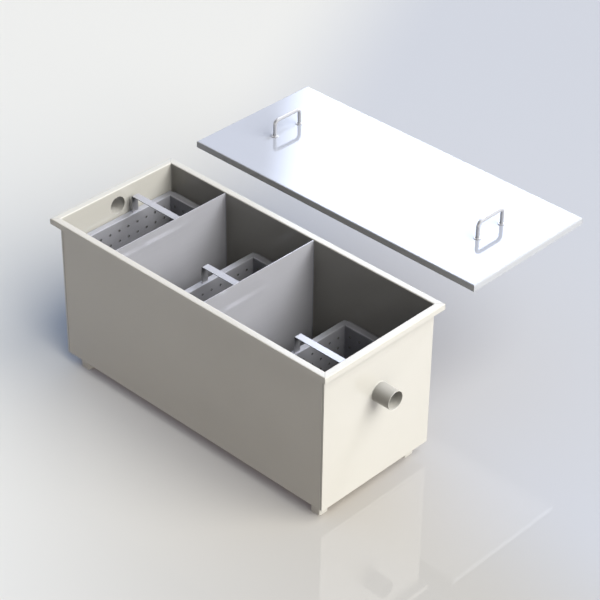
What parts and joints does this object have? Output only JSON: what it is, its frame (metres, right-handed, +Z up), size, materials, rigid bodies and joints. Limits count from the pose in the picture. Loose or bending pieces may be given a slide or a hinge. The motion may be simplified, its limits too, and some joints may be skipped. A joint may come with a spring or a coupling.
{
  "type": "grease trap",
  "caption": "Under-sink grease trap: folded sheet tank on feet, baffled bays, lift-out perforated strainer baskets on ledges, pipe stubs at both ends, lift-off pan lid set behind.",
  "frame": {"origin": "on the floor, under the middle of the box round the tank and its lid", "axes": "+X from the inlet to the outlet, +Y from the tank to the lid behind it, +Z up"},
  "size_m": [0.99, 0.905, 0.523],
  "materials": {
    "tank_paint": "warm cream coating, satin",
    "plate_steel": "plain mill-finished sheet",
    "basket_steel": "perforated sheet, dull",
    "strap_steel": "bright flat strip",
    "lid_steel": "polished sheet",
    "bar_steel": "polished round bar"
  },
  "bodies": {
    "root": {"tank_wrap": "tank_paint", "inlet_panel": "tank_paint", "outlet_panel": "tank_paint", "inlet_stub": "tank_paint", "outlet_stub": "tank_paint", "front_inlet_foot": "tank_paint", "front_outlet_foot": "tank_paint", "rear_inlet_foot": "tank_paint", "rear_outlet_foot": "tank_paint", "first_baffle": "plate_steel", "second_baffle": "plate_steel", "first_ledge_front": "plate_steel", "first_ledge_rear": "plate_steel", "second_ledge_front": "plate_steel", "second_ledge_rear": "plate_steel", "third_ledge_front": "plate_steel", "third_ledge_rear": "plate_steel", "first_basket": "basket_steel", "second_basket": "basket_steel", "third_basket": "basket_steel", "first_basket_handle": "strap_steel", "second_basket_handle": "strap_steel", "third_basket_handle": "strap_steel", "lid": "lid_steel", "inlet_lid_handle": "bar_steel", "outlet_lid_handle": "bar_steel", "lid_handle_collars": "bar_steel"}
  },
  "joints": []
}
